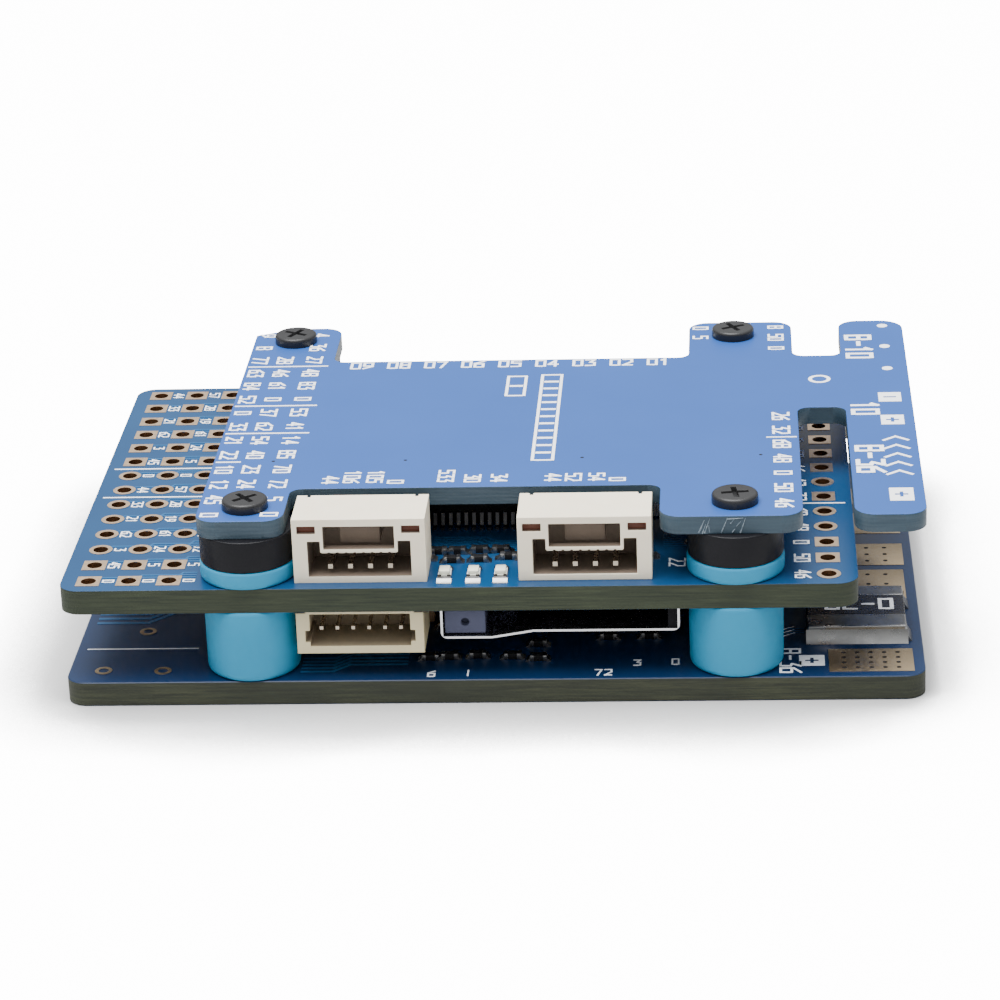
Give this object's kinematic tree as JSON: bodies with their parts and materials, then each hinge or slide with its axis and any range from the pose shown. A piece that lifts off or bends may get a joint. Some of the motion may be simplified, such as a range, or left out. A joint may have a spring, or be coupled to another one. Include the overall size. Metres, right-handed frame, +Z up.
{
  "type": "flight controller board",
  "caption": "Stacked flight controller: power board, controller board on soft grommets, notched cover plate, side-entry connectors and a memory card slot.",
  "frame": {"origin": "centre of the screw pattern on the underside of the power board, which is the centre of the footprint", "axes": "+X along the long side to the power input, +Y away from the front connectors, +Z up through the stack"},
  "size_m": [0.054, 0.0366, 0.013],
  "materials": {
    "board_blue": "gloss blue solder mask over glass laminate",
    "cover_blue": "satin blue solder mask over glass laminate",
    "silicone_blue": "matte soft silicone",
    "collar_black": "satin black nylon",
    "screw_black": "black oxide",
    "ivory_plastic": "moulded heat-resistant plastic",
    "cream_plastic": "moulded heat-resistant plastic",
    "pin_metal": "gold flash",
    "tin_metal": "reflowed tin",
    "steel_shell": "rolled stainless",
    "slot_plastic": "dark grey-blue plastic",
    "chip_black": "moulded epoxy",
    "led_white": "clear resin",
    "ceramic_tan": "ceramic",
    "ferrite_grey": "pressed powder",
    "header_black": "moulded plastic"
  },
  "bodies": {
    "board_stack": {"power_board": "board_blue", "fc_board": "board_blue", "top_cover_plate": "cover_blue", "cover_screws": "screw_black", "can_connector_housing": "ivory_plastic", "can_connector_pins": "pin_metal", "can_connector_tabs": "tin_metal", "sensor_connector_housing": "ivory_plastic", "sensor_connector_pins": "pin_metal", "sensor_connector_tabs": "tin_metal", "usb_cable_connector_housing": "cream_plastic", "usb_cable_connector_pins": "tin_metal", "usb_cable_connector_tabs": "tin_metal", "sd_slot_shell": "steel_shell", "sd_slot_base": "slot_plastic", "sd_slot_contacts": "pin_metal", "sd_slot_spring": "steel_shell", "mcu_chip": "chip_black", "mcu_leads": "tin_metal", "imu_chips": "chip_black", "barometer_lid": "steel_shell", "crystal_can": "steel_shell", "osd_chip": "chip_black", "osd_leads": "tin_metal", "can_transceiver_chip": "chip_black", "can_transceiver_leads": "tin_metal", "status_leds": "led_white", "led_resistors": "chip_black", "fc_passives": "ceramic_tan", "current_shunt_body": "chip_black", "current_shunt_terminals": "tin_metal", "power_inductor_main": "ferrite_grey", "power_inductor_servo": "ferrite_grey", "power_inductor_video": "ferrite_grey", "buck_chips": "chip_black", "buck_leads": "tin_metal", "tvs_diode": "chip_black", "tvs_terminals": "tin_metal", "power_capacitors": "ceramic_tan", "power_passives": "chip_black", "board_link_socket": "header_black", "board_link_header": "header_black", "board_link_pins": "pin_metal", "boot_button_frame": "header_black", "boot_button_dome": "steel_shell", "grommet_front_left": "silicone_blue", "spacer_collar_front_left": "collar_black", "grommet_front_right": "silicone_blue", "spacer_collar_front_right": "collar_black", "grommet_rear_left": "silicone_blue", "spacer_collar_rear_left": "collar_black", "grommet_rear_right": "silicone_blue", "spacer_collar_rear_right": "collar_black"},
    "card_slider": {"sd_slot_slider": "slot_plastic"},
    "boot_plunger": {"boot_button_plunger": "ivory_plastic"}
  },
  "joints": [
    {"name": "card_slider_travel", "type": "slide", "parent": "board_stack", "child": "card_slider", "axis": [0, 1, 0], "range_m": [0, 0.0018], "stiffness_N_per_m": 400, "springref_m": -0.0004, "deforming": ["sd_slot_spring"]},
    {"name": "boot_button_press", "type": "slide", "parent": "board_stack", "child": "boot_plunger", "axis": [-1, 0, 0], "range_m": [0, 0.00025], "stiffness_N_per_m": 5000, "deforming": ["boot_button_dome"]}
  ]
}
